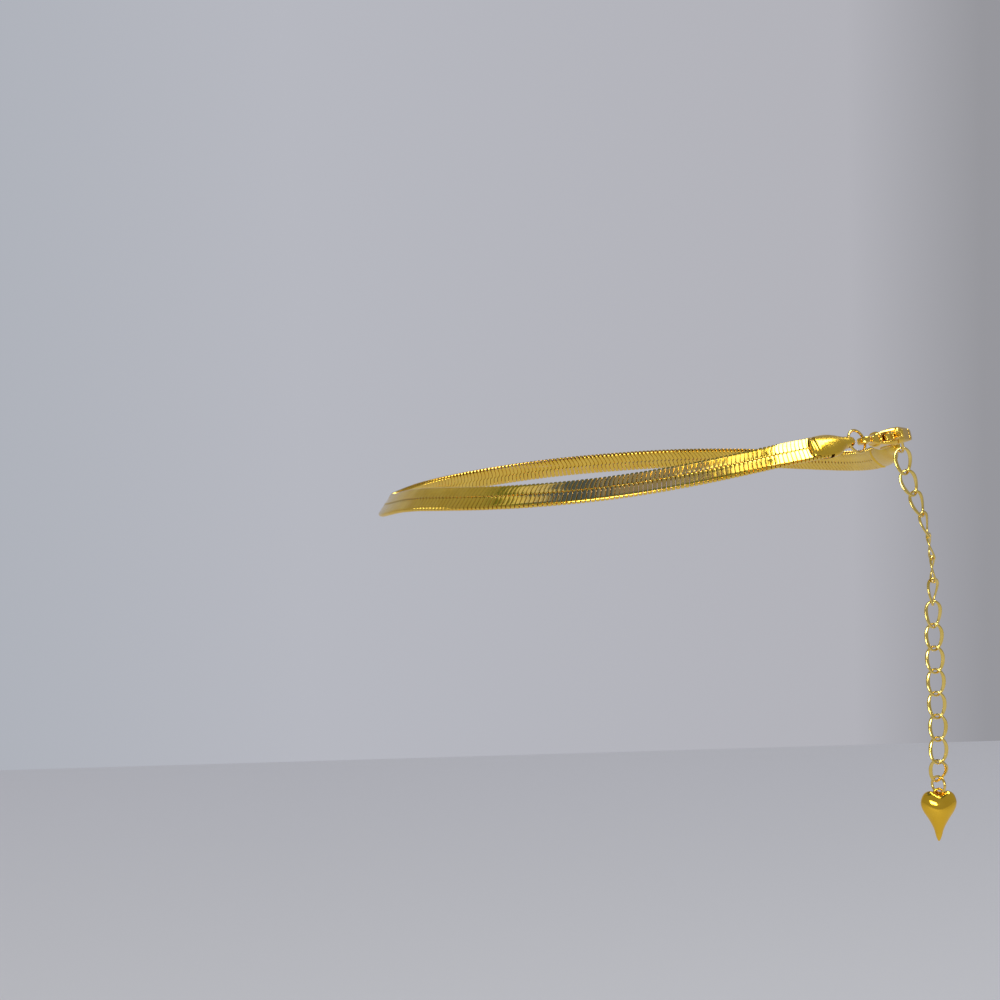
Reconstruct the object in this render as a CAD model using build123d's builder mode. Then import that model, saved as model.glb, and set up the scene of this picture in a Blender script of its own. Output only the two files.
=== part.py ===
"""Chain anklet: a flat herringbone band, two end caps, a lobster clasp and a curb extender with a heart.

Millimetres. The origin is the middle of the ankle opening. +X points to the heel, where the clasp
sits, -X to the instep, -Y to the side that carries the near cap, and +Z up the leg.
"""

import os
from math import cos, radians, sin, tan

from build123d import *

os.makedirs("parts", exist_ok=True)

# Herringbone band
BAND_WIDTH = 4.1
BAND_THICKNESS = 0.75
BAND_CORNER = 0.25
BAND_FLARE = 43.0  # degrees that its lower edge stands out, as the ankle widens below it
LOOP_TILT = 6.6  # degrees that the loop rises towards the heel
ARC_SHARE = 0.45  # share of the shorter run that each arc's tangent takes

# Route of the band's middle line, from inside the near cap round the instep to the far cap
BAND_ROUTE = [
    (25.2, -19.8, 3.2),
    (20.6, -22.8, 2.8),
    (12.5, -24.8, 1.4),
    (4.0, -26.0, 0.0),
    (-5.0, -26.5, -1.2),
    (-14.0, -26.1, -2.0),
    (-22.5, -23.4, -2.6),
    (-30.0, -18.8, -3.0),
    (-36.5, -12.4, -3.5),
    (-40.5, -4.4, -5.2),
    (-40.6, 4.6, -5.6),
    (-36.8, 12.8, -4.8),
    (-30.0, 19.0, -3.9),
    (-22.0, 23.4, -3.1),
    (-13.5, 26.0, -2.4),
    (-4.5, 26.8, -1.9),
    (4.5, 26.4, -1.5),
    (13.0, 24.6, -1.4),
    (21.0, 21.0, -1.5),
    (28.2, 15.4, -1.6),
    (33.9, 9.0, -1.5),
    (36.75, 2.2, -0.6),
    (37.35, -1.4, 0.48),
]

# End caps: two jaws that fold over the band and join at the tip; the band's edges show between them
CAP_STATIONS = [
    # from the rim, half width, half thickness
    (0.0, 2.0, 0.98),
    (2.6, 2.12, 1.12),
    (4.6, 1.84, 1.08),
    (6.4, 0.9, 0.94),
    (8.3, 0.6, 0.86),
]
CAP_GRIP = 2.6  # length of band held inside a cap
CAP_POCKET_GAP = 0.05
CAP_POCKET_DEPTH = 3.0
CAP_HOLE_SETBACK = 0.86  # from the tip back to the ring's hole
CAP_HOLE_RADIUS = 0.64

# Jump rings
RING_WIRE = 0.5
RING_RADIUS = 1.75
NEAR_RING_LEAN = (-0.20, 0.31, 0.93)  # the ring's upright direction, leaning to the ankle
NEAR_RING_AXIS = (0.75, 0.66, 0.0)  # from the cap's hole to the clasp's eye
FAR_RING_LEAN = (-0.40, 0.39, 0.79)
RING_LOW = 22.0  # degrees round the far ring, towards the cap, where the extender hangs
RING_HANG = 0.66  # from the far ring's wire up to the wire of the link that hangs on it

# Lobster clasp, in its own frame: x from the eye to the nose, y towards the ankle, z across
CLASP_AXIS = (0.766, 0.643, 0.0)
CLASP_UP = (-0.18, 0.21, 0.96)
PLAN_CIRCLES = [(2.1, 0.0, 0.95), (6.0, 0.1, 2.5), (8.15, 0.0, 1.85)]  # x, y, radius
SIDE_CIRCLES = [(2.2, 0.0, 0.85), (5.2, 0.0, 1.4), (9.1, 0.0, 0.9)]  # x, z, radius
HOLLOW_CIRCLES = [(5.6, 0.05, 1.15), (7.7, 0.05, 1.25)]
CLAW_HALF = 1.42
CLAW_EDGE = 1.0
BODY_HALF = 2.0
EYE_RADIUS = 1.1
EYE_HOLE = 0.55
EYE_HALF = 0.5
NECK_HALF_WIDTH = 0.7
PIVOT = (4.1, -1.0)
PIN_RADIUS = 0.3
PIN_HALF = 1.0
BORE_RADIUS = 0.38
CHEEK_RADIUS = 1.5
SLOT_HALF = 0.62
GATE_GAP = 0.12
HOOK_REACH = 4.3  # radius about the pivot where the hook's tip starts
TONGUE_HALF = 0.5
TONGUE_CIRCLES = [(4.1, -1.0, 0.8), (5.9, -1.75, 0.4)]
NUB_CIRCLES = [(4.95, -1.9, 0.45), (5.0, -3.1, 0.38)]
HOOK_HOLD = (8.45, 0.2, 0.15)  # x, y and z where the far ring lies in the hook
HOLLOW_FLARE = 16.0  # degrees that the hollow widens towards both faces
GATE_FIELD = 10.0  # cutting size, wider than the clasp
NECK_LENGTH = 2.6

# Curb extender
LINK_PITCH = 3.6
LINK_LENGTH = 4.7
LINK_WIDTH = 3.2
LINK_WIRE = 0.5
LINK_TWIST = 42.0  # degrees that each end of a link is turned out of its plane
LINK_END_HALF = 0.62  # half length of the bar at each end
LINK_SIDE_HALF = 0.75  # half length of the straight side
LINK_END_RADIUS = 0.7
LINK_SIDE_RADIUS = 2.0
LINK_ROUTE = [
    # degrees of lean towards the heel, lean towards +Y, turn about the chain
    (11, 6, 20),
    (22.5, 7, 24),
    (22, 8, 44),
    (16, 8, 64),
    (10, 7, 84),
    (2, 6, 80),
    (0.5, 5, 52),
    (2.5, 3, 22),
    (1.5, 2, 6),
    (2.5, 1, 0),
    (1, 0, 0),
    (3, 0, 3),
    (1, 0, 0),
    (0, 0, -3),
    (6, 30, 0),
]

# Heart drop, in its own frame: the origin is the notch, x across, y up
DROP_RING_RADIUS = 1.3
DROP_RING_TURN = 53.0
HEART_SIDE = [(0, -0.25), (1.4, 0.82), (2.82, -1.2), (1.75, -3.5), (0.8, -5.1), (0.22, -7.1)]
HEART_TIP = -7.35
HEART_CENTRE = -1.9
HEART_LAYERS = [(0.0, 1.0), (0.5, 0.95), (1.0, 0.78), (1.35, 0.5), (1.5, 0.2)]  # height, scale
HEART_EYE_RADIUS = 0.78
HEART_EYE_WIRE = 0.4
HEART_EYE_HEIGHT = 0.38  # of the eye's middle above the notch
HEART_EYE_HOLD = 0.62  # from the eye's top wire down to the drop ring's wire


def corner_radii(points):
    """Radius of the arc at each corner, as large as its two runs allow."""
    runs = [Vector(*b) - Vector(*a) for a, b in zip(points[:-1], points[1:])]
    radii = []
    for before, after in zip(runs[:-1], runs[1:]):
        turn = radians(before.get_angle(after))
        radii.append(ARC_SHARE * min(before.length, after.length) / tan(turn / 2))
    return radii


def frame_along(origin, axis, up):
    """Frame with its x along axis and its z as near to up as that allows."""
    x_dir = Vector(axis).normalized()
    hint = Vector(up)
    return Plane(origin=Vector(origin), x_dir=x_dir, z_dir=hint - x_dir * hint.dot(x_dir))


def point_in(frame, *place):
    """Place in the part's frame of a place in a local frame."""
    return frame.from_local_coords(Vector(*place))


def plane_across(frame, along=0.0):
    """Plane across the frame's x, with its own x and y along the frame's y and z."""
    return Plane(origin=point_in(frame, along, 0, 0), x_dir=frame.y_dir, z_dir=frame.x_dir)


def plane_upright(frame):
    """Plane of the frame's x and z."""
    return Plane(origin=frame.origin, x_dir=frame.x_dir, z_dir=frame.y_dir * -1)


def draw_hull(circles):
    """Draw the outline that wraps a row of circles."""
    for x, y, radius in circles:
        with Locations((x, y)):
            Circle(radius)
    make_hull()


def finish(piece, name):
    """Name a finished piece and write its file."""
    piece.part.label = name
    export_step(piece.part, f"parts/{name}.step")


# ---------------------------------------------------------------- herringbone band
loop_normal = Vector(-sin(radians(LOOP_TILT)), 0, cos(radians(LOOP_TILT)))
band_radii = corner_radii(BAND_ROUTE)
print("band corner radii:", [round(radius, 1) for radius in band_radii])

band_start = Vector(*BAND_ROUTE[0])
band_end = Vector(*BAND_ROUTE[-1])
start_tangent = (Vector(*BAND_ROUTE[1]) - band_start).normalized()
end_tangent = (band_end - Vector(*BAND_ROUTE[-2])).normalized()
outward = loop_normal.cross(start_tangent).normalized()
upward = start_tangent.cross(outward)
start_face = outward * cos(radians(BAND_FLARE)) + upward * sin(radians(BAND_FLARE))
start_plane = Plane(origin=band_start, x_dir=start_face.cross(start_tangent), z_dir=start_tangent)

with BuildLine() as band_line:
    FilletPolyline(*BAND_ROUTE, radius=band_radii)

with BuildPart() as herringbone_band:
    with BuildSketch(start_plane):
        RectangleRounded(BAND_WIDTH, BAND_THICKNESS, BAND_CORNER)
    sweep(path=band_line.wire())
finish(herringbone_band, "herringbone_band")

# The sweep carries the section round the ankle, so the far cap takes its lie from the band's end.
end_section = herringbone_band.faces().sort_by_distance(band_end)[0]
end_across = end_section.edges().sort_by(SortBy.LENGTH)[-1] % 0.5
end_face = end_across.cross(end_tangent)
if end_face.Z < 0:
    end_face = end_face * -1

# ---------------------------------------------------------------- end caps
near_cap_frame = frame_along(band_start + start_tangent * CAP_GRIP, start_tangent * -1, start_face)
far_cap_frame = frame_along(band_end - end_tangent * CAP_GRIP, end_tangent, end_face)
cap_length = CAP_STATIONS[-1][0]
hole_along = cap_length - CAP_HOLE_SETBACK
pocket_width = BAND_WIDTH + 2 * CAP_POCKET_GAP
pocket_thickness = BAND_THICKNESS + 2 * CAP_POCKET_GAP

for name, frame in (("near_end_cap", near_cap_frame), ("far_end_cap", far_cap_frame)):
    with BuildPart() as end_cap:
        for along, half_width, half_thickness in CAP_STATIONS:
            with BuildSketch(plane_across(frame, along)):
                Ellipse(half_width, half_thickness)
        loft()
        with BuildSketch(plane_across(frame)):
            Rectangle(pocket_width, pocket_thickness)
        extrude(amount=CAP_POCKET_DEPTH, mode=Mode.SUBTRACT)
        hole_middle = point_in(frame, hole_along, 0, 0)
        with BuildSketch(Plane(origin=hole_middle, x_dir=frame.x_dir, z_dir=frame.y_dir)):
            Circle(CAP_HOLE_RADIUS)
        extrude(amount=BAND_WIDTH, both=True, mode=Mode.SUBTRACT)
    finish(end_cap, name)

# ---------------------------------------------------------------- jump rings
near_hole = point_in(near_cap_frame, hole_along, 0, 0)
near_ring_axis = Vector(*NEAR_RING_AXIS).normalized()
near_ring_frame = frame_along(near_hole + near_ring_axis * RING_RADIUS, near_ring_axis, NEAR_RING_LEAN)
clasp_eye = point_in(near_ring_frame, RING_RADIUS, 0, 0)
clasp_frame = frame_along(clasp_eye, CLASP_AXIS, CLASP_UP)

# The far ring's middle lies half way from the clasp's hook to the far cap's hole.
far_hole = point_in(far_cap_frame, hole_along, 0, 0)
hook_hold = point_in(clasp_frame, *HOOK_HOLD)
far_ring_frame = frame_along((hook_hold + far_hole) * 0.5, far_hole - hook_hold, FAR_RING_LEAN)

for name, frame in (("near_jump_ring", near_ring_frame), ("far_jump_ring", far_ring_frame)):
    with BuildPart(Plane(origin=frame.origin, x_dir=frame.x_dir, z_dir=frame.y_dir)) as jump_ring:
        Torus(RING_RADIUS, RING_WIRE / 2)
    finish(jump_ring, name)

# ---------------------------------------------------------------- clasp
pivot_place = (PIVOT[0], PIVOT[1])
gate_corner = (PIVOT[0] + GATE_FIELD / 2, PIVOT[1] - GATE_FIELD / 2)

with BuildPart() as claw_blank:
    with BuildSketch(clasp_frame):
        draw_hull(PLAN_CIRCLES)
    extrude(amount=CLAW_HALF, both=True)
    flat_faces = claw_blank.faces().filter_by(Axis(clasp_frame.origin, clasp_frame.z_dir))
    fillet(flat_faces.edges(), CLAW_EDGE)
    with BuildSketch(plane_upright(clasp_frame)):
        draw_hull(SIDE_CIRCLES)
    extrude(amount=GATE_FIELD, both=True, mode=Mode.INTERSECT)

with BuildPart() as clasp_body:
    add(claw_blank)
    with BuildSketch(clasp_frame):
        Circle(EYE_RADIUS)
        with Locations((NECK_LENGTH / 2, 0)):
            Rectangle(NECK_LENGTH, 2 * NECK_HALF_WIDTH)
    extrude(amount=EYE_HALF, both=True)
    with BuildSketch(clasp_frame):
        draw_hull(HOLLOW_CIRCLES)
    extrude(amount=BODY_HALF, both=True, taper=-HOLLOW_FLARE, mode=Mode.SUBTRACT)
    with BuildSketch(clasp_frame):
        with Locations(pivot_place):
            Circle(HOOK_REACH)
            Circle(CHEEK_RADIUS, mode=Mode.SUBTRACT)
        with Locations(gate_corner):
            Rectangle(GATE_FIELD, GATE_FIELD, mode=Mode.INTERSECT)
    extrude(amount=BODY_HALF, both=True, mode=Mode.SUBTRACT)
    with BuildSketch(clasp_frame):
        Circle(EYE_HOLE)
        with Locations(pivot_place):
            Circle(CHEEK_RADIUS)
    extrude(amount=SLOT_HALF, both=True, mode=Mode.SUBTRACT)
    with BuildSketch(clasp_frame):
        with Locations(pivot_place):
            Circle(PIN_RADIUS)
    extrude(amount=PIN_HALF, both=True)
finish(clasp_body, "clasp_body")

with BuildPart() as clasp_lever:
    add(claw_blank)
    with BuildSketch(clasp_frame):
        with Locations(pivot_place):
            Circle(HOOK_REACH - GATE_GAP)
            Circle(CHEEK_RADIUS + GATE_GAP, mode=Mode.SUBTRACT)
        with Locations(gate_corner):
            Rectangle(GATE_FIELD, GATE_FIELD, mode=Mode.INTERSECT)
    extrude(amount=BODY_HALF, both=True, mode=Mode.INTERSECT)
    with BuildSketch(clasp_frame):
        draw_hull(HOLLOW_CIRCLES)
    extrude(amount=BODY_HALF, both=True, mode=Mode.SUBTRACT)
    for circles in (TONGUE_CIRCLES, NUB_CIRCLES):
        with BuildSketch(clasp_frame):
            draw_hull(circles)
        extrude(amount=TONGUE_HALF, both=True)
    with BuildSketch(clasp_frame):
        with Locations(pivot_place):
            Circle(BORE_RADIUS)
    extrude(amount=BODY_HALF, both=True, mode=Mode.SUBTRACT)
finish(clasp_lever, "clasp_lever")

# ---------------------------------------------------------------- curb extender
half_length = (LINK_LENGTH - LINK_WIRE) / 2
half_width = (LINK_WIDTH - LINK_WIRE) / 2
wire_overlap = 2 * half_length - LINK_PITCH


def link_corner(along, across):
    """Corner of a link's middle line, turned out of its plane as far as it lies from the middle."""
    twist = radians(-LINK_TWIST * along / half_length)
    return (along, across * cos(twist), across * sin(twist))


link_outline = [
    (-half_length, 0),
    (-half_length, LINK_END_HALF),
    (-LINK_SIDE_HALF, half_width),
    (LINK_SIDE_HALF, half_width),
    (half_length, LINK_END_HALF),
    (half_length, 0),
]
link_corners = [link_corner(along, across) for along, across in link_outline]
link_radii = [LINK_END_RADIUS, LINK_SIDE_RADIUS, LINK_SIDE_RADIUS, LINK_END_RADIUS]

link_hang = RING_HANG
low_angle = radians(RING_LOW)
joint_place = point_in(far_ring_frame, RING_RADIUS * sin(low_angle), 0, -RING_RADIUS * cos(low_angle))

for number, (lean_x, lean_y, turn) in enumerate(LINK_ROUTE, start=1):
    link_down = Vector(tan(radians(lean_x)), tan(radians(lean_y)), -1).normalized()
    link_face = Vector(sin(radians(turn)), -cos(radians(turn)), 0)
    link_top = joint_place - link_down * link_hang
    link_frame = frame_along(link_top + link_down * half_length, link_down, link_face)
    with BuildLine(link_frame) as link_line:
        FilletPolyline(*link_corners, radius=link_radii)
    link_path = link_line.wire()
    with BuildPart() as extender_link:
        with BuildSketch(Plane(origin=link_path @ 0, z_dir=link_path % 0)):
            Circle(LINK_WIRE / 2)
        sweep(path=link_path)
        add(extender_link.part.rotate(Axis(link_frame.origin, link_frame.x_dir), 180))
    finish(extender_link, f"extender_link_{number:02d}")
    joint_place = link_top + link_down * 2 * half_length
    link_hang = wire_overlap

# ---------------------------------------------------------------- heart drop
plumb = Vector(0, 0, -1)
ring_across = Vector(cos(radians(DROP_RING_TURN)), -sin(radians(DROP_RING_TURN)), 0)
ring_top = joint_place - plumb * link_hang
ring_middle = ring_top + plumb * DROP_RING_RADIUS
ring_plane = Plane(origin=ring_middle, x_dir=ring_across, z_dir=ring_across.cross(plumb))

with BuildPart(ring_plane) as drop_ring:
    Torus(DROP_RING_RADIUS, RING_WIRE / 2)
finish(drop_ring, "drop_ring")

ring_bottom = ring_middle + plumb * DROP_RING_RADIUS
eye_middle = ring_bottom + plumb * (HEART_EYE_RADIUS - HEART_EYE_HOLD)
heart_origin = eye_middle + plumb * HEART_EYE_HEIGHT
heart_frame = frame_along(heart_origin, (1, 0, 0), (0, -1, 0))

with BuildPart() as heart_drop:
    for height, scale in HEART_LAYERS:
        side = [(x * scale, HEART_CENTRE + (y - HEART_CENTRE) * scale) for x, y in HEART_SIDE]
        tip = (0, HEART_CENTRE + (HEART_TIP - HEART_CENTRE) * scale)
        with BuildSketch(heart_frame.offset(height)):
            with BuildLine():
                Spline(*side)
                ThreePointArc(side[-1], tip, (-side[-1][0], side[-1][1]))
                Spline(*[(-x, y) for x, y in side])
            make_face()
    loft()
    mirror(about=heart_frame)
    with Locations(Plane(origin=eye_middle, x_dir=heart_frame.x_dir, z_dir=heart_frame.z_dir)):
        Torus(HEART_EYE_RADIUS, HEART_EYE_WIRE / 2)
finish(heart_drop, "heart_drop")
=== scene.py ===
"""Looks of the chain anklet: herringbone band, satin caps, lobster clasp, curb extender and heart.

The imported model's frame is in metres: +X to the heel, -Y to the near side, +Z up. Sizes are
written in millimetres, and MM turns them into metres. Each piece takes its place from its CAD node.
"""

import math

import bpy
import numpy as np
from mathutils import Matrix, Vector


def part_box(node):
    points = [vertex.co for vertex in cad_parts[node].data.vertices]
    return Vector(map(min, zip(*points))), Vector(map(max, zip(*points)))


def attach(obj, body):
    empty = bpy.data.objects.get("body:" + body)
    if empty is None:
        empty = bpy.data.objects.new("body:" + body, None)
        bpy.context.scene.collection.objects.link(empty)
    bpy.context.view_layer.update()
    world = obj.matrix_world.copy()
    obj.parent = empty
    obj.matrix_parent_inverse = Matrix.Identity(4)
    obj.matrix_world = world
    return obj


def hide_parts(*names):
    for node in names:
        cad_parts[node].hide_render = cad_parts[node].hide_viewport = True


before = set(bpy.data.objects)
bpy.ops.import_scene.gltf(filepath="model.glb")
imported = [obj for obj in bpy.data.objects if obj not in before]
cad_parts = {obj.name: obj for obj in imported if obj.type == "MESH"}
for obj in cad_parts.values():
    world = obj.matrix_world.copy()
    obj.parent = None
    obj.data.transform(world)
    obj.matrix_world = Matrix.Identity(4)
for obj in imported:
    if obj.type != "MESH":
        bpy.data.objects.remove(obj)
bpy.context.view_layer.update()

MM = 0.001
ROOT = "anklet"
LEVER = "clasp_lever"
SEED = 11
chance = np.random.default_rng(SEED)

# ---------------------------------------------------------------- camera
CAMERA_PLACE = Vector((-22.8, -328.8, 26.5)) * MM
CAMERA_PITCH = 5.5  # degrees that the camera looks down
CAMERA_ROLL = 1.7
CAMERA_CLIP = 0.01
SENSOR_WIDTH = 36.0
FOCAL_LENGTH = 75.8


def make_camera():
    """Camera that looks along +Y and a little down."""
    data = bpy.data.cameras.new("camera")
    data.sensor_width = SENSOR_WIDTH
    data.lens = FOCAL_LENGTH
    data.clip_start = CAMERA_CLIP
    camera = bpy.data.objects.new("camera", data)
    bpy.context.scene.collection.objects.link(camera)
    pitch = Matrix.Rotation(math.radians(90 - CAMERA_PITCH), 4, "X")
    roll = Matrix.Rotation(math.radians(-CAMERA_ROLL), 4, "Z")
    camera.matrix_world = Matrix.Translation(CAMERA_PLACE) @ pitch @ roll
    bpy.context.scene.camera = camera


# ---------------------------------------------------------------- mesh helpers
DRILL_SIDES = 40
DRILL_LENGTH = 10 * MM  # longer than anything it goes through


def unit(vector):
    """Vector, or rows of vectors, scaled to length 1."""
    return vector / np.linalg.norm(vector, axis=-1, keepdims=True)


def oval(count, power=2.0):
    """Points round a superellipse of half sizes 1: (count, 2)."""
    angle = np.arange(count) * 2 * math.pi / count
    points = [np.sign(v) * abs(v) ** (2 / power) for v in (np.cos(angle), np.sin(angle))]
    return np.stack(points, axis=1)


def new_piece(name, vertices, faces, sharp=None):
    """Object from points and faces, smooth except at edges sharper than an angle in degrees."""
    mesh = bpy.data.meshes.new(name)
    mesh.from_pydata([tuple(v) for v in vertices], [], [tuple(int(i) for i in f) for f in faces])
    mesh.shade_smooth()
    if sharp is not None:
        mesh.set_sharp_from_angle(angle=math.radians(sharp))
    mesh.validate()
    piece = bpy.data.objects.new(name, mesh)
    bpy.context.scene.collection.objects.link(piece)
    return piece


def grid_faces(rows, columns, closed):
    """Faces between neighbouring rings of points, and from the last ring to the first if closed."""
    row = np.arange(rows if closed else rows - 1)
    column = np.arange(columns)
    row, column = np.meshgrid(row, column, indexing="ij")
    row, column = row.ravel(), column.ravel()
    next_row, next_column = (row + 1) % rows, (column + 1) % columns
    corners = (
        row * columns + column,
        row * columns + next_column,
        next_row * columns + next_column,
        next_row * columns + column,
    )
    return np.stack(corners, axis=1).tolist()


def skin(name, rings, closed, sharp=None):
    """Piece over a row of rings, (rings, points, 3). An open row gets a face at each end."""
    count, around = rings.shape[:2]
    faces = grid_faces(count, around, closed)
    if not closed:
        faces.append(list(range(around))[::-1])
        faces.append([(count - 1) * around + i for i in range(around)])
    return new_piece(name, rings.reshape(-1, 3), faces, sharp)


def wire(name, middles, outward, axis, radius, around, closed=True, sharp=None):
    """Round wire along a flat path, given its outward directions and the axis square to it."""
    ring = oval(around) * radius
    sides = ring[None, :, :1] * outward[:, None, :]
    return skin(name, middles[:, None, :] + sides + ring[None, :, 1:] * axis, closed, sharp)


def node_points(node):
    """Points of a CAD node's surface."""
    return np.array([v.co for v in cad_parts[node].data.vertices])


def own_frame(node):
    """A CAD node's middle and its long, wide and thin directions, as columns, from its surface."""
    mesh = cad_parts[node].data
    mesh.calc_loop_triangles()
    corners = node_points(node)[np.array([t.vertices for t in mesh.loop_triangles])]
    first, second = corners[:, 1] - corners[:, 0], corners[:, 2] - corners[:, 0]
    area = np.linalg.norm(np.cross(first, second), axis=1)
    middle = (corners.mean(axis=1) * area[:, None]).sum(axis=0) / area.sum()
    spread = np.zeros((3, 3))
    for a in range(3):
        for b in range(3):
            weight = area * (2.0 if a == b else 1.0)
            offsets = corners[:, a] - middle, corners[:, b] - middle
            spread += np.einsum("n,ni,nj->ij", weight, *offsets)
    _, directions = np.linalg.eigh(spread)
    directions = directions[:, ::-1]
    if np.linalg.det(directions) < 0:
        directions[:, 2] *= -1
    return middle, directions


def keep_shape(piece):
    """Apply a piece's modifiers."""
    graph = bpy.context.evaluated_depsgraph_get()
    mesh = bpy.data.meshes.new_from_object(piece.evaluated_get(graph), depsgraph=graph)
    piece.modifiers.clear()
    piece.data = mesh
    mesh.shade_smooth()


def round_over(piece, voxel, passes):
    """Remesh a piece evenly and smooth it."""
    remesh = piece.modifiers.new("remesh", "REMESH")
    remesh.mode = "VOXEL"
    remesh.voxel_size = voxel
    smooth = piece.modifiers.new("smooth", "SMOOTH")
    smooth.factor = 0.5
    smooth.iterations = passes
    keep_shape(piece)


def smooth_copy(name, node, voxel, passes):
    """Copy of a CAD node with its edges rounded as a polished casting's are."""
    copy = bpy.data.objects.new(name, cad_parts[node].data.copy())
    bpy.context.scene.collection.objects.link(copy)
    round_over(copy, voxel, passes)
    return copy


def carve(piece, cutter):
    """Take a cutter's volume out of a piece and drop the cutter."""
    bpy.context.view_layer.update()
    cut = piece.modifiers.new("cut", "BOOLEAN")
    cut.object = cutter
    cut.operation = "DIFFERENCE"
    cut.solver = "EXACT"
    keep_shape(piece)
    bpy.data.objects.remove(cutter)


def drill(piece, place, axis, radius):
    """Cut a round hole through a piece."""
    bpy.ops.mesh.primitive_cylinder_add(vertices=DRILL_SIDES, radius=radius, depth=DRILL_LENGTH)
    cutter = bpy.context.object
    turn = Vector(axis).to_track_quat("Z", "Y").to_matrix().to_4x4()
    cutter.matrix_world = Matrix.Translation(place) @ turn
    carve(piece, cutter)


# ---------------------------------------------------------------- materials
EVEN = (1, 1, 1)
BRUSHED = (0.3, 1, 1)
COAT_ROUGHNESS = 0.08
TONE_SCALE, TONE_DETAIL, TONE_EDGES = 420, 3, (0.35, 0.65)
GLOSS_SCALE, GLOSS_DETAIL, GLOSS_EDGES = 1500, 4, (0.4, 0.75)
MARK_SCALE, MARK_DETAIL = 2600, 2


def new_material(name):
    """Node material, with its nodes and links."""
    material = bpy.data.materials.new(name)
    material.use_nodes = True
    return material, material.node_tree.nodes, material.node_tree.links


def set_ramp(ramp, shades):
    """Fill a colour ramp from places and colours."""
    elements = ramp.color_ramp.elements
    while len(elements) < len(shades):
        elements.new(0.5)
    for element, (position, colour) in zip(elements, shades):
        element.position = position
        element.color = (*colour, 1)


def noise_at(nodes, links, scale, stretch, detail):
    """Noise in the piece's own coordinates, stretched along its axes."""
    place = nodes.new("ShaderNodeTexCoord")
    mapping = nodes.new("ShaderNodeMapping")
    mapping.inputs["Scale"].default_value = stretch
    noise = nodes.new("ShaderNodeTexNoise")
    noise.inputs["Scale"].default_value = scale
    noise.inputs["Detail"].default_value = detail
    links.new(place.outputs["Object"], mapping.inputs["Vector"])
    links.new(mapping.outputs["Vector"], noise.inputs["Vector"])
    return noise.outputs["Fac"]


def gold(name, pale, deep, roughness, wear, relief, lacquer=0.9, stretch=EVEN):
    """Plated gold: two tones that drift into each other, uneven gloss and fine marks.

    roughness is the lowest value, wear what the dullest places add, relief the depth of the marks
    and lacquer the weight of the clear coat. stretch draws out the gloss and the marks.
    """
    material, nodes, links = new_material(name)
    shader = nodes["Principled BSDF"]
    shader.inputs["Metallic"].default_value = 1.0
    shader.inputs["Coat Weight"].default_value = lacquer
    shader.inputs["Coat Roughness"].default_value = COAT_ROUGHNESS

    drift = nodes.new("ShaderNodeValToRGB")
    set_ramp(drift, [(TONE_EDGES[0], deep), (TONE_EDGES[1], pale)])
    links.new(noise_at(nodes, links, TONE_SCALE, EVEN, TONE_DETAIL), drift.inputs["Fac"])
    links.new(drift.outputs["Color"], shader.inputs["Base Color"])

    gloss = nodes.new("ShaderNodeMapRange")
    gloss.inputs["From Min"].default_value = GLOSS_EDGES[0]
    gloss.inputs["From Max"].default_value = GLOSS_EDGES[1]
    gloss.inputs["To Min"].default_value = roughness
    gloss.inputs["To Max"].default_value = roughness + wear
    links.new(noise_at(nodes, links, GLOSS_SCALE, stretch, GLOSS_DETAIL), gloss.inputs["Value"])
    links.new(gloss.outputs["Result"], shader.inputs["Roughness"])

    bump = nodes.new("ShaderNodeBump")
    bump.inputs["Strength"].default_value = 1.0
    bump.inputs["Distance"].default_value = relief
    links.new(noise_at(nodes, links, MARK_SCALE, stretch, MARK_DETAIL), bump.inputs["Height"])
    links.new(bump.outputs["Normal"], shader.inputs["Normal"])
    return material


GOLDS = {
    name: gold(name, *values)
    for name, *values in (
        # slot, pale and deep tone, roughness, wear, relief, and sometimes lacquer and stretch
        ("band_gold", (0.93, 0.61, 0.06), (0.88, 0.55, 0.035), 0.09, 0.08, 0.003 * MM),
        ("cap_gold", (0.92, 0.60, 0.05), (0.85, 0.51, 0.025), 0.16, 0.10, 0.004 * MM, 0.5, BRUSHED),
        ("ring_gold", (0.92, 0.64, 0.14), (0.86, 0.57, 0.09), 0.10, 0.10, 0.003 * MM),
        ("clasp_gold", (0.93, 0.60, 0.07), (0.88, 0.54, 0.04), 0.08, 0.08, 0.003 * MM),
        ("extender_gold", (0.90, 0.66, 0.17), (0.78, 0.55, 0.09), 0.09, 0.12, 0.003 * MM),
        ("heart_gold", (0.92, 0.55, 0.025), (0.88, 0.51, 0.015), 0.08, 0.05, 0.0006 * MM, 0.6),
    )
}


def settle(piece, body, slot, *nodes):
    """Give a finished piece its body, its slot and gold, and the CAD nodes that it replaces."""
    piece.data.materials.clear()
    piece.data.materials.append(GOLDS[slot])
    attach(piece, body)
    if nodes:
        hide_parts(*nodes)


# ---------------------------------------------------------------- herringbone band
# The route of part.py, in metres
BAND_ROUTE = [
    (0.0252, -0.0198, 0.0032),
    (0.0206, -0.0228, 0.0028),
    (0.0125, -0.0248, 0.0014),
    (0.0040, -0.0260, 0.0000),
    (-0.0050, -0.0265, -0.0012),
    (-0.0140, -0.0261, -0.0020),
    (-0.0225, -0.0234, -0.0026),
    (-0.0300, -0.0188, -0.0030),
    (-0.0365, -0.0124, -0.0035),
    (-0.0405, -0.0044, -0.0052),
    (-0.0406, 0.0046, -0.0056),
    (-0.0368, 0.0128, -0.0048),
    (-0.0300, 0.0190, -0.0039),
    (-0.0220, 0.0234, -0.0031),
    (-0.0135, 0.0260, -0.0024),
    (-0.0045, 0.0268, -0.0019),
    (0.0045, 0.0264, -0.0015),
    (0.0130, 0.0246, -0.0014),
    (0.0210, 0.0210, -0.0015),
    (0.0282, 0.0154, -0.0016),
    (0.0339, 0.0090, -0.0015),
    (0.03675, 0.0022, -0.0006),
    (0.03735, -0.0014, 0.00048),
]
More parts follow.
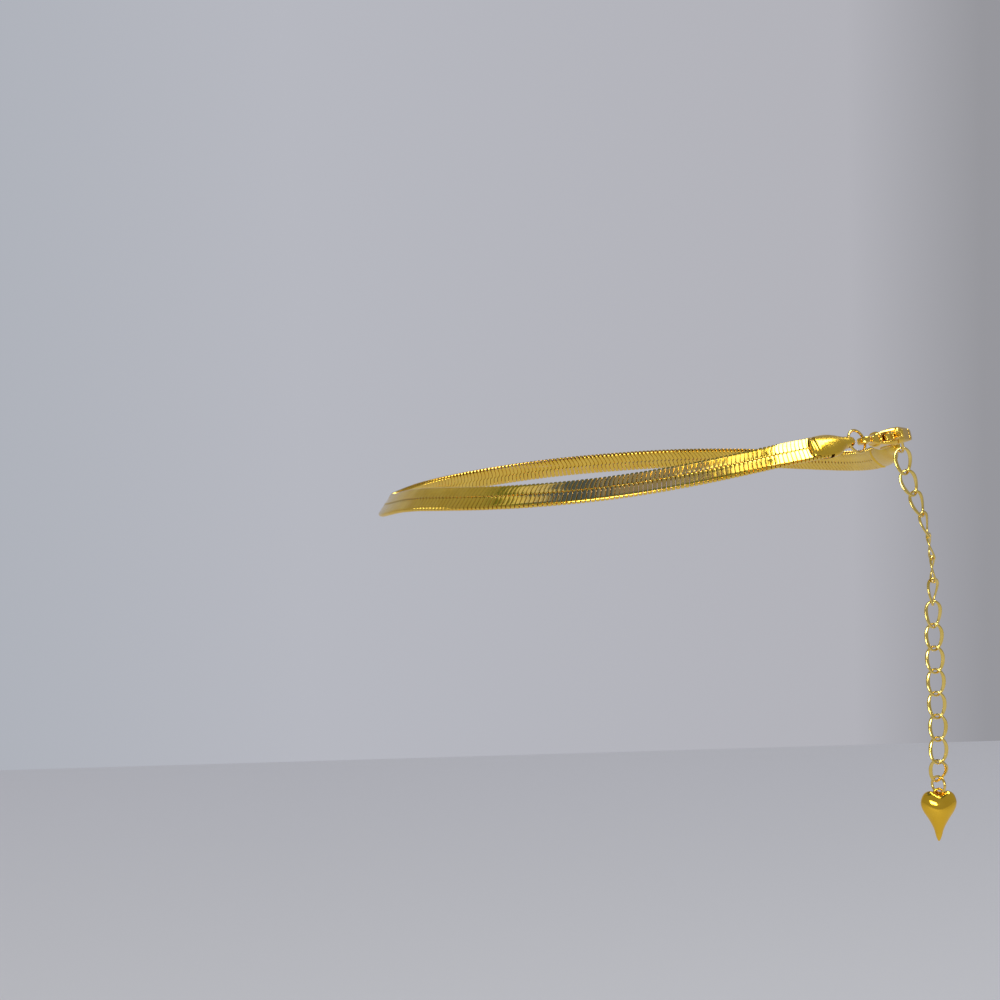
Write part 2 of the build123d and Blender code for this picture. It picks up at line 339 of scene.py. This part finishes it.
ROUTE_ORDER = 3
ROUTE_STEPS = 40
BAND_FLARE = math.radians(43.0)
LOOP_TILT = math.radians(6.6)
LINK_PITCH = 0.675 * MM
LINK_HALF = 2.05 * MM  # half the band's width
LINK_DEPTH = 0.375 * MM  # half the band's thickness
LINK_END = 0.30 * MM  # how far a link's rounded ends reach past its flat plates
FRONT_SHARES = (1, 0.82, 0.6, 0.36, 0.14, 0.07)  # stations from a link's end to its middle
END_TURNS = (30, 60, 90, 120, 150)  # degrees round a link's end
UPPER_LEAN = -0.86 * MM  # how far the upper row's outer end lies along the band
UPPER_BEND = 1.6
LOWER_START = -0.34  # millimetres along the band, at the lower row's inner end
LOWER_LEAN = 0.45  # millimetres that the lower row's outer end adds
LOWER_BEND = 1.1
LEAN_END = 0.87  # share of the half width where the lean stops
ROW_BLEND = 0.24 * MM  # height in which the upper row turns into the lower
PLATE_THICK = 0.16 * MM
PLATE_WIDE = 0.62 * MM
UPPER_END_WIDE = 0.31 * MM
LOWER_END_WIDE = 0.55 * MM
NARROW_START = 0.84  # share of the half width where a plate starts to narrow
NARROW_SPAN = 0.12
PLATE_WAIST = 0.18 * MM  # how much narrower a plate is where its two halves meet
PLATE_WAIST_REACH = 0.13 * MM
PLATE_CHAMFER = 0.05 * MM
PLATE_CROWN = 0.005 * MM
WAIST_RISE = 0.055 * MM
END_ROUNDING = 0.03 * MM
PLATE_TILT = 0.8  # degrees, the most that one link lies out of true
PLATE_ROLL = 0.35
PLATE_SHARP = 35


def spline_points(name, places):
    """Points along the NURBS spline of a route."""
    curve = bpy.data.curves.new(name, "CURVE")
    curve.dimensions = "3D"
    spline = curve.splines.new("NURBS")
    spline.points.add(len(places) - 1)
    for point, place in zip(spline.points, places):
        point.co = (*place, 1)
    spline.order_u = ROUTE_ORDER
    spline.use_endpoint_u = True
    spline.resolution_u = ROUTE_STEPS
    holder = bpy.data.objects.new(name, curve)
    mesh = bpy.data.meshes.new_from_object(holder)
    points = np.array([v.co for v in mesh.vertices])
    bpy.data.objects.remove(holder)
    return points


def carried_frames(points, first_face):
    """Arc length, tangent and face direction along a line, the face carried without twist."""
    steps = np.diff(points, axis=0)
    along = np.concatenate([[0], np.cumsum(np.linalg.norm(steps, axis=1))])
    tangents = unit(np.gradient(points, along, axis=0))
    faces = [first_face]
    for tangent in tangents[1:]:
        face = faces[-1] - tangent * faces[-1].dot(tangent)
        faces.append(unit(face))
    return along, tangents, np.array(faces)


def row_at(s, along, rows):
    """Row of three values at an arc length."""
    return np.array([np.interp(s, along, rows[:, i]) for i in range(3)])


def plate_shift(u):
    """How far a link's middle line lies along the band, at a height u across it."""
    share = np.clip(abs(u) / LINK_HALF, 0, LEAN_END)
    upper = UPPER_LEAN * share**UPPER_BEND
    lower = (LOWER_START + LOWER_LEAN * share**LOWER_BEND) * MM
    blend = np.clip(u / ROW_BLEND + 0.5, 0, 1)
    blend = blend * blend * (3 - 2 * blend)
    return upper * blend + lower * (1 - blend)


def link_stations():
    """Stations round a link, seen along the band: place across, height, and outward direction."""
    inner = LINK_HALF - LINK_END
    across, deep = LINK_END - PLATE_THICK / 2, LINK_DEPTH - PLATE_THICK / 2
    front = np.array([*FRONT_SHARES, 0, *(-share for share in reversed(FRONT_SHARES))]) * inner
    stations = [(u, deep, 0.0, 1.0) for u in front]
    for start, middle in ((90, -inner), (-90, inner)):
        for angle in np.radians(start + np.array(END_TURNS)):
            c, s = math.cos(angle), math.sin(angle)
            stations.append((middle + across * c, deep * s, c, s))
        if start == 90:
            stations += [(u, -deep, 0.0, -1.0) for u in front[::-2]]
    return np.array(stations)


def plate_section(u):
    """Section of a plate at a place across the band: places along the band and outwards."""
    share = np.clip(abs(u) / LINK_HALF, 0, 1)
    waist = math.exp(-((u / PLATE_WAIST_REACH) ** 2))
    narrow = np.clip((share - NARROW_START) / NARROW_SPAN, 0, 1)
    end_wide = UPPER_END_WIDE if u > 0 else LOWER_END_WIDE
    wide = PLATE_WIDE + (end_wide - PLATE_WIDE) * narrow - PLATE_WAIST * waist
    half, thick, cut = wide / 2, PLATE_THICK / 2, PLATE_CHAMFER + END_ROUNDING * narrow
    crown = PLATE_CROWN + WAIST_RISE * waist
    return np.array(
        [
            (-half, -thick),
            (-half, thick - cut),
            (-half + cut, thick),
            (0, thick + crown),
            (half - cut, thick),
            (half, thick - cut),
            (half, -thick),
        ]
    )


def make_band():
    """All links of the herringbone band, laid side by side along the route."""
    points = spline_points("band_route", BAND_ROUTE)
    tangent = unit(points[1] - points[0])
    loop_normal = np.array([-math.sin(LOOP_TILT), 0, math.cos(LOOP_TILT)])
    outward = unit(np.cross(loop_normal, tangent))
    first_face = outward * math.cos(BAND_FLARE) + np.cross(tangent, outward) * math.sin(BAND_FLARE)
    along, tangents, faces = carried_frames(points, first_face)

    stations = link_stations()
    sections = np.stack([plate_section(u) for u in stations[:, 0]])
    shift = plate_shift(stations[:, 0])
    local_s = shift[:, None] + sections[:, :, 0]
    local_u = stations[:, 0, None] + stations[:, 2, None] * sections[:, :, 1]
    local_w = stations[:, 1, None] + stations[:, 3, None] * sections[:, :, 1]
    local = np.stack([local_s, local_u, local_w], axis=-1).reshape(-1, 3)
    one = grid_faces(len(stations), sections.shape[1], True)

    vertices, all_faces = [], []
    for number in range(int(along[-1] / LINK_PITCH)):
        s = (number + 0.5) * LINK_PITCH
        place, t, w = (row_at(s, along, rows) for rows in (points, tangents, faces))
        t = unit(t)
        w = unit(w - t * w.dot(t))
        u = np.cross(w, t)
        if u[2] < 0:
            u = -u
        tilt, roll = np.radians(chance.uniform(-1, 1, 2) * (PLATE_TILT, PLATE_ROLL))
        height = local[:, 2] + (local[:, 0] - shift.mean()) * tilt + local[:, 1] * roll
        vertices.append(place + local[:, :1] * t + local[:, 1:2] * u + height[:, None] * w)
        all_faces += [[i + number * len(local) for i in face] for face in one]
    return new_piece("herringbone_links", np.concatenate(vertices), all_faces, PLATE_SHARP)


# ---------------------------------------------------------------- end caps
CAP_PROFILE = [
    # from the rim, half width, half thickness, squareness of the section
    (0.0, 1.55, 0.55, 2.4),
    (0.05, 1.78, 0.76, 2.4),
    (0.14, 1.93, 0.91, 2.4),
    (0.26, 2.0, 0.99, 2.4),
    (0.36, 1.97, 0.95, 2.4),
    (0.46, 1.88, 0.84, 2.4),
    (0.64, 1.84, 0.80, 2.4),
    (0.84, 1.87, 0.84, 2.4),
    (1.0, 1.98, 0.97, 2.3),
    (1.2, 2.04, 1.04, 2.1),
    (1.9, 2.10, 1.10, 2.0),
    (2.6, 2.12, 1.12, 1.95),
    (3.4, 2.08, 1.12, 1.95),
    (4.2, 1.94, 1.10, 1.95),
    (4.9, 1.68, 1.06, 2.0),
    (5.6, 1.28, 1.00, 2.2),
    (6.2, 0.98, 0.95, 2.3),
    (6.9, 0.86, 0.91, 2.4),
    (7.6, 0.78, 0.84, 2.4),
    (8.05, 0.62, 0.68, 2.3),
    (8.24, 0.34, 0.40, 2.2),
]
CAP_LENGTH = 8.3
CAP_HOLE_SETBACK = 0.86
CAP_HOLE_RADIUS = 0.5
CAP_AROUND = 56
CAP_END_SLICE = 0.3 * MM  # depth of the slice that tells the wide end from the tip
CAP_VOXEL, CAP_PASSES, CAP_SHARP = 0.06 * MM, 4, 40
RIM_TOP = 0.3  # how far back from the mouth the rim lies at its top, at its bottom and between
RIM_BOTTOM = -0.8
RIM_BULGE = -0.35
RIM_REACH = 2.6
CAP_MOUTH = (6, 5, 0.8)  # along, half of it ahead of the rim, across and through


def make_cap(name, node):
    """Cap with a rolled rim, a mouth for the band and a drilled tip."""
    middle, axes = own_frame(node)
    points = (node_points(node) - middle) @ axes
    near, far = points[:, 0].min(), points[:, 0].max()
    spread = [np.ptp(points[abs(points[:, 0] - end) < CAP_END_SLICE][:, 1]) for end in (near, far)]
    if spread[0] < spread[1]:
        axes = axes * (-1, -1, 1)
        near = -far
    if axes[2, 1] < 0:
        axes = axes * (1, -1, -1)
    rim = middle + axes[:, 0] * near

    rings = []
    for x, half_width, half_thick, power in CAP_PROFILE:
        outline = oval(CAP_AROUND, power)
        ring = outline * (half_width * MM, half_thick * MM)
        up = outline[:, :1]
        lean = RIM_BOTTOM + (RIM_TOP - RIM_BOTTOM) * (1 + up) / 2 + RIM_BULGE * (1 - up**2)
        ahead = x + lean * max(0, 1 - x / RIM_REACH)
        place = rim + ahead * axes[:, 0] * MM
        rings.append(place + ring[:, :1] * axes[:, 1] + ring[:, 1:] * axes[:, 2])
    cap = skin(name, np.array(rings), closed=False)
    hole = rim + axes[:, 0] * (CAP_LENGTH - CAP_HOLE_SETBACK) * MM
    drill(cap, hole, axes[:, 1], CAP_HOLE_RADIUS * MM)
    round_over(cap, CAP_VOXEL, CAP_PASSES)

    bpy.ops.mesh.primitive_cube_add(size=1)
    mouth = bpy.context.object
    size = Matrix.Diagonal((*(side * MM for side in CAP_MOUTH), 1))
    mouth.matrix_world = Matrix.Translation(rim) @ Matrix(axes.tolist()).to_4x4() @ size
    carve(cap, mouth)
    cap.data.set_sharp_from_angle(angle=math.radians(CAP_SHARP))
    return cap


# ---------------------------------------------------------------- rings
RINGS = [
    # name, CAD node, radius, degrees round it where the seam is
    ("near_wire_ring", "near_jump_ring", 1.75 * MM, 70),
    ("far_wire_ring", "far_jump_ring", 1.75 * MM, 160),
    ("drop_wire_ring", "drop_ring", 1.3 * MM, 200),
]
RING_WIRE_RADIUS = 0.22 * MM
RING_SEAM = 0.06 * MM
RING_STEPS, RING_AROUND, RING_SHARP = 97, 20, 50


def make_ring(name, node, radius, seam_angle):
    """Ring of round wire, closed but not soldered."""
    middle, axes = own_frame(node)
    gap = RING_SEAM / radius
    turn = math.radians(seam_angle) + np.linspace(gap / 2, 2 * math.pi - gap / 2, RING_STEPS)
    outward = np.cos(turn)[:, None] * axes[:, 0] + np.sin(turn)[:, None] * axes[:, 1]
    path = middle + outward * radius
    return wire(name, path, outward, axes[:, 2], RING_WIRE_RADIUS, RING_AROUND, False, RING_SHARP)


# ---------------------------------------------------------------- clasp
CASTING_VOXEL, CASTING_PASSES = 0.09 * MM, 28
GATE_VOXEL, GATE_PASSES = 0.06 * MM, 14
COLLAR_PLACE = 3.4 * MM  # from the outer end of the clasp's eye
COLLAR_SLICE = 0.45 * MM  # half depth of the slice of neck that it is fitted to
COLLAR_WIRE = 0.2 * MM
COLLAR_POWER = 2.2
COLLAR_STEPS, COLLAR_AROUND = 64, 14


def make_collar(name, node, eye_neighbour):
    """Bead cast round the neck of the clasp, near the end where its neighbour hangs."""
    middle, axes = own_frame(node)
    low, high = (np.array(corner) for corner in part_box(eye_neighbour))
    if ((low + high) / 2 - middle) @ axes[:, 0] > 0:
        axes = axes * (-1, -1, 1)
    points = (node_points(node) - middle) @ axes
    place = points[:, 0].min() + COLLAR_PLACE
    near = points[abs(points[:, 0] - place) < COLLAR_SLICE][:, 1:]
    centre, half = (near.max(axis=0) + near.min(axis=0)) / 2, np.ptp(near, axis=0) / 2
    outline = oval(COLLAR_STEPS, COLLAR_POWER)
    path = middle + place * axes[:, 0] + (centre + outline * half) @ axes[:, 1:].T
    outward = unit(outline / half) @ axes[:, 1:].T
    return wire(name, path, outward, axes[:, 0], COLLAR_WIRE, COLLAR_AROUND)


# ---------------------------------------------------------------- extender links
LINK_COUNT = 15
LINK_HALF_LENGTH = 2.1 * MM
LINK_HALF_WIDTH = 1.24 * MM
LINK_TWIST = math.radians(26)
LINK_POWER = 2.2
LINK_STEPS, LINK_AROUND = 64, 16
SIDE_SECTION = (0.31 * MM, 0.15 * MM)  # half sizes in the link's plane and across it
END_SECTION = (0.17 * MM, 0.25 * MM)
SECTION_POWER = 2.6
SECTION_TURN = 2.5  # how late along the link the side's section turns into the end's


def make_extender_link(name, node):
    """Curb link: a flattened oval whose two ends are twisted out of its plane."""
    middle, axes = own_frame(node)
    outline = oval(LINK_STEPS, LINK_POWER)
    x, y = outline[:, 0] * LINK_HALF_LENGTH, outline[:, 1] * LINK_HALF_WIDTH
    twist = -LINK_TWIST * outline[:, 0]
    path = np.stack([x, y * np.cos(twist), y * np.sin(twist)], axis=1)
    ahead = unit(np.roll(path, -1, axis=0) - np.roll(path, 1, axis=0))
    face = np.stack([0 * twist, -np.sin(twist), np.cos(twist)], axis=1)
    face = unit(face - ahead * (face * ahead).sum(axis=1, keepdims=True))
    side = np.cross(face, ahead)
    share = np.clip(abs(outline[:, 0]), 0, 1) ** SECTION_TURN
    flat, deep = (start + (end - start) * share for start, end in zip(SIDE_SECTION, END_SECTION))
    ring = oval(LINK_AROUND, SECTION_POWER)
    sides = ring[None, :, :1] * (flat[:, None] * side)[:, None, :]
    outs = ring[None, :, 1:] * (deep[:, None] * face)[:, None, :]
    rings = (middle + path @ axes.T)[:, None, :] + sides @ axes.T + outs @ axes.T
    return skin(name, rings, closed=True)


# ---------------------------------------------------------------- heart
HEART_SIDE = [
    # across, up from the notch, down one side to the tip
    (0.0, 0.25),
    (0.55, 0.58),
    (1.4, 0.84),
    (2.3, 0.42),
    (2.78, -0.6),
    (2.78, -1.5),
    (2.38, -2.5),
    (1.6, -3.7),
    (0.82, -5.2),
    (0.42, -6.6),
    (0.0, -7.33),
]
HEART_CURVE_STEPS = 24
HEART_TIP = 7.35
HEART_CENTRE = -1.9
HEART_DEPTH = 1.5
HEART_AROUND = 144
HEART_RINGS = 26
HEART_INNER = 0.04  # radians; the rings' places follow a sine from here to a quarter turn
HEART_CELL = 0.05  # cell of the grid on which the puffed height is worked out
HEART_ROUNDS = 5000
HEART_VOXEL, HEART_PASSES = 0.07 * MM, 16
HEART_EYE_RADIUS = 0.78
HEART_EYE_WIRE = 0.2 * MM
HEART_EYE_HEIGHT = 0.38
HEART_EYE_STEPS, HEART_EYE_AROUND = 64, 16


def heart_outline():
    """Closed outline of the heart, evenly spaced, with a corner at the notch."""
    right = np.array(HEART_SIDE)
    left = right[-2:0:-1] * (-1, 1)
    knots = [Vector((*p, 0)) for p in np.concatenate([right, left])]
    count = len(knots)
    line = []
    for i in range(count):
        a, b, c, d = (knots[(i + k) % count] for k in (-1, 0, 1, 2))
        if i == 0:
            a = b
        if i == count - 1:
            d = c
        slope, bend, curl = c - a, 2 * a - 5 * b + 4 * c - d, 3 * b - a - 3 * c + d
        for step in np.linspace(0, 1, HEART_CURVE_STEPS, endpoint=False):
            line.append(0.5 * (2 * b + slope * step + bend * step**2 + curl * step**3))
    line = np.array([p[:2] for p in line])
    closed = np.vstack([line, line[:1]])
    along = np.concatenate([[0], np.cumsum(np.linalg.norm(np.diff(closed, axis=0), axis=1))])
    even = np.linspace(0, along[-1], HEART_AROUND, endpoint=False)
    return np.stack([np.interp(even, along, closed[:, i]) for i in range(2)], axis=1)


def puffed_height(outline):
    """Height of a skin blown up over the outline: a grid of heights and its lowest corner."""
    low = outline.min(axis=0) - 2 * HEART_CELL
    count = ((outline.max(axis=0) + 2 * HEART_CELL - low) / HEART_CELL).astype(int) + 1
    x = low[0] + np.arange(count[0])[:, None] * HEART_CELL
    y = low[1] + np.arange(count[1])[None, :] * HEART_CELL
    inside = np.zeros(count, bool)
    for a, b in zip(outline, np.roll(outline, -1, axis=0)):
        crosses = (a[1] > y) != (b[1] > y)
        rise = b[1] - a[1] if b[1] != a[1] else 1e-9
        inside ^= crosses & (x < a[0] + (b[0] - a[0]) * (y - a[1]) / rise)
    height = np.zeros(count)
    for _ in range(HEART_ROUNDS):
        around = sum(np.roll(height, step, axis) for axis in (0, 1) for step in (1, -1))
        height = np.where(inside, (around + HEART_CELL**2) / 4, 0)
    return height / height.max(), low


def sampled(grid, low, places):
    """Values of a grid at places between its points."""
    cell = (places - low) / HEART_CELL
    corner = np.clip(cell.astype(int), 0, np.array(grid.shape) - 2)
    share = cell - corner
    i, j = corner[:, 0], corner[:, 1]
    a, b = share[:, 0], share[:, 1]
    lower = grid[i, j] * (1 - a) + grid[i + 1, j] * a
    upper = grid[i, j + 1] * (1 - a) + grid[i + 1, j + 1] * a
    return lower * (1 - b) + upper * b


def make_heart():
    """Puffed heart and its soldered eye."""
    low, high = (np.array(corner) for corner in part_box("heart_drop"))
    origin = np.array([(low[0] + high[0]) / 2, (low[1] + high[1]) / 2, low[2] + HEART_TIP * MM])
    outline = heart_outline()
    grid, corner = puffed_height(outline)
    centre = np.array([0, HEART_CENTRE])
    scales = np.sin(np.linspace(HEART_INNER, math.pi / 2, HEART_RINGS))
    rings = []
    for side in (-1, 1):
        for scale in scales if side < 0 else scales[-2::-1]:
            place = centre + scale * (outline - centre)
            height = side * HEART_DEPTH * np.sqrt(np.clip(sampled(grid, corner, place), 0, 1))
            if scale == scales[-1]:
                height = height * 0
            rings.append(np.stack([place[:, 0], height, place[:, 1]], axis=1))
    rings = origin + np.array(rings) * MM
    faces = grid_faces(len(rings), HEART_AROUND, False)
    vertices = list(rings.reshape(-1, 3))
    for row, side in ((0, -1), (len(rings) - 1, 1)):
        vertices.append(rings[row].mean(axis=0))
        for i in range(HEART_AROUND):
            j = (i + 1) % HEART_AROUND
            pair = (row * HEART_AROUND + i, row * HEART_AROUND + j)
            faces.append((*(pair[::-1] if side < 0 else pair), len(vertices) - 1))
    heart = new_piece("puffed_heart", vertices, faces)
    round_over(heart, HEART_VOXEL, HEART_PASSES)

    turn = np.linspace(0, 2 * math.pi, HEART_EYE_STEPS, endpoint=False)
    outward = np.stack([np.cos(turn), 0 * turn, np.sin(turn)], axis=1)
    path = origin + np.array([0, 0, HEART_EYE_HEIGHT * MM]) + outward * HEART_EYE_RADIUS * MM
    eye = wire("heart_eye", path, outward, np.array([0, 1, 0]), HEART_EYE_WIRE, HEART_EYE_AROUND)
    return heart, eye


# ---------------------------------------------------------------- stage and lights
LAMPS = [
    # name, place, target, width and height, radiance, colour
    ("right_softbox", (203, 0, 400), (20, -22, 3), (290, 175), 9.0, (1.0, 1.0, 1.0)),
    ("right_spill", (71, -80, 400), (8, -25, 1), (38, 110), 2.0, (1.0, 1.0, 1.0)),
    ("bronze_panel", (2, -100, 400), (0, -26, 0), (92, 110), 0.18, (1.0, 0.88, 0.85)),
    ("left_panel", (-202, -60, 400), (-18, -25, -2), (62, 150), 0.55, (1.0, 0.98, 0.95)),
    ("front_softbox", (-45, -600, 60), (20, -10, -45), (240, 140), 12.0, (1.0, 1.0, 1.0)),
]
DARKEST = (-0.19, -0.175, 0.966)
ROOM_SHADES = [
    # half of one plus the cosine to the darkest direction, and the colour there
    (0.0, (0.44, 0.44, 0.46)),
    (0.40, (0.35, 0.36, 0.38)),
    (0.90, (0.34, 0.35, 0.34)),
    (0.944, (0.33, 0.35, 0.30)),
    (0.958, (0.12, 0.17, 0.12)),
    (0.975, (0.12, 0.17, 0.18)),
    (0.99, (0.07, 0.12, 0.65)),
]
REACH = 1500
FLOOR_HEIGHT = -200
FLOOR_FRONT = -700
FLOOR_ENDS = (-700, 700)
# Painted light and shade: the floor is paler at the front, where the heart mirrors it, and darker
# and bluer towards the back
FLOOR_SHADES = [(0.0, (0.68, 0.68, 0.69)), (0.75, (0.65, 0.65, 0.68)), (1.0, (0.62, 0.62, 0.66))]
FLOOR_GLOW = 0.5
WALL_PLACE = 700
WALL_TOP = 530
WALL_ENDS = (-270, 230)
# Painted shade: the backdrop is darkest near its right end and a little darker at its left end,
# where less light falls
WALL_SHADES = [
    (0.0, (0.43, 0.45, 0.50)),
    (0.3, (0.47, 0.48, 0.53)),
    (0.84, (0.45, 0.45, 0.49)),
    (0.97, (0.31, 0.31, 0.335)),
]
WALL_GLOW = 1.0
FLAG_PLACE = 610  # a dark sheet over the backdrop, seen only in reflections
FLAG_ENDS = (-220, 190)
FLAG_SHADES = [(0.0, (0.03, 0.03, 0.03)), (1.0, (0.04, 0.03, 0.03))]
FLAG_GLOW = 0.0
MATT_ROUGHNESS = 0.9
MATT_SHEEN = 0.1


def make_world():
    """Soft room: dark overhead, pale at the horizon and below."""
    world = bpy.data.worlds.new("world")
    bpy.context.scene.world = world
    world.use_nodes = True
    nodes, links = world.node_tree.nodes, world.node_tree.links
    place = nodes.new("ShaderNodeTexCoord")
    height = nodes.new("ShaderNodeVectorMath")
    height.operation = "DOT_PRODUCT"
    height.inputs[1].default_value = Vector(DARKEST).normalized()
    ramp = nodes.new("ShaderNodeValToRGB")
    set_ramp(ramp, ROOM_SHADES)
    half = nodes.new("ShaderNodeMapRange")
    half.inputs["From Min"].default_value = -1
    half.inputs["From Max"].default_value = 1
    links.new(place.outputs["Generated"], height.inputs[0])
    links.new(height.outputs["Value"], half.inputs["Value"])
    links.new(half.outputs["Result"], ramp.inputs["Fac"])
    links.new(ramp.outputs["Color"], nodes["Background"].inputs["Color"])


def softbox(name, place, target, size, radiance, colour):
    """Soft panel lamp: its radiance is what a mirror shows."""
    data = bpy.data.lights.new(name, "AREA")
    data.shape = "RECTANGLE"
    data.size, data.size_y = (side * MM for side in size)
    data.energy = radiance * math.pi * data.size * data.size_y
    data.color = colour
    lamp = bpy.data.objects.new(name, data)
    bpy.context.scene.collection.objects.link(lamp)
    place, target = Vector(place) * MM, Vector(target) * MM
    aim = (target - place).to_track_quat("-Z", "Y").to_matrix().to_4x4()
    lamp.matrix_world = Matrix.Translation(place) @ aim


def stage_material(name, axis, ends, shades, glow):
    """Matt paint whose tone drifts along an axis, as painted shade, between two ends: places and
    colours.

    glow is the share of its own colour that it shows to the eye and in reflections, whatever light
    falls on it.
    """
    material, nodes, links = new_material(name)
    shader = nodes["Principled BSDF"]
    shader.inputs["Roughness"].default_value = MATT_ROUGHNESS
    shader.inputs["Specular IOR Level"].default_value = MATT_SHEEN
    place = nodes.new("ShaderNodeTexCoord")
    split = nodes.new("ShaderNodeSeparateXYZ")
    spread = nodes.new("ShaderNodeMapRange")
    spread.inputs["From Min"].default_value = ends[0] * MM
    spread.inputs["From Max"].default_value = ends[1] * MM
    ramp = nodes.new("ShaderNodeValToRGB")
    set_ramp(ramp, shades)
    links.new(place.outputs["Object"], split.inputs["Vector"])
    links.new(split.outputs[axis], spread.inputs["Value"])
    links.new(spread.outputs["Result"], ramp.inputs["Fac"])
    links.new(ramp.outputs["Color"], shader.inputs["Base Color"])

    rays = nodes.new("ShaderNodeLightPath")
    seen = nodes.new("ShaderNodeMath")
    seen.operation = "MAXIMUM"
    share = nodes.new("ShaderNodeMath")
    share.operation = "MULTIPLY"
    share.inputs[1].default_value = glow
    own = nodes.new("ShaderNodeEmission")
    mix = nodes.new("ShaderNodeMixShader")
    links.new(rays.outputs["Is Camera Ray"], seen.inputs[0])
    links.new(rays.outputs["Is Glossy Ray"], seen.inputs[1])
    links.new(seen.outputs["Value"], share.inputs[0])
    links.new(ramp.outputs["Color"], own.inputs["Color"])
    links.new(share.outputs["Value"], mix.inputs["Fac"])
    links.new(shader.outputs["BSDF"], mix.inputs[1])
    links.new(own.outputs["Emission"], mix.inputs[2])
    links.new(mix.outputs["Shader"], nodes["Material Output"].inputs["Surface"])
    return material


def flat_sheet(name, low, high, material):
    """Sheet of the stage, flat to an axis, between two opposite corners."""
    corners = np.array([low, (high[0], low[1], low[2]), high, (low[0], high[1], high[2])]) * MM
    sheet = new_piece(name, corners, [(0, 1, 2, 3)])
    sheet.data.materials.append(material)


make_camera()
make_world()
for lamp in LAMPS:
    softbox(*lamp)
flat_sheet(
    "floor",
    (-REACH, FLOOR_FRONT, FLOOR_HEIGHT),
    (REACH, WALL_PLACE, FLOOR_HEIGHT),
    stage_material("floor_painted_shade", "Y", FLOOR_ENDS, FLOOR_SHADES, FLOOR_GLOW),
)
flat_sheet(
    "backdrop",
    (-REACH, WALL_PLACE, FLOOR_HEIGHT),
    (REACH, WALL_PLACE, WALL_TOP),
    stage_material("wall_painted_shade", "X", WALL_ENDS, WALL_SHADES, WALL_GLOW),
)
flat_sheet(
    "flag",
    (FLAG_ENDS[0], FLAG_PLACE, WALL_TOP),
    (FLAG_ENDS[1], FLAG_PLACE, REACH),
    stage_material("flag_cloth", "X", FLAG_ENDS, FLAG_SHADES, FLAG_GLOW),
)

# ---------------------------------------------------------------- pieces
settle(make_band(), ROOT, "band_gold", "herringbone_band")
for side in ("near", "far"):
    node = f"{side}_end_cap"
    settle(make_cap(f"{side}_satin_cap", node), ROOT, "cap_gold", node)
for name, node, radius, seam_angle in RINGS:
    settle(make_ring(name, node, radius, seam_angle), ROOT, "ring_gold", node)
casting = smooth_copy("clasp_casting", "clasp_body", CASTING_VOXEL, CASTING_PASSES)
settle(casting, ROOT, "clasp_gold", "clasp_body")
settle(make_collar("clasp_collar", "clasp_body", "near_jump_ring"), ROOT, "clasp_gold")
gate = smooth_copy("clasp_gate", "clasp_lever", GATE_VOXEL, GATE_PASSES)
settle(gate, LEVER, "clasp_gold", "clasp_lever")
for number in range(1, LINK_COUNT + 1):
    node = f"extender_link_{number:02d}"
    settle(make_extender_link(f"curb_link_{number:02d}", node), ROOT, "extender_gold", node)
heart, heart_eye = make_heart()
settle(heart, ROOT, "heart_gold", "heart_drop")
settle(heart_eye, ROOT, "heart_gold")

bpy.context.scene.view_settings.view_transform = "Standard"
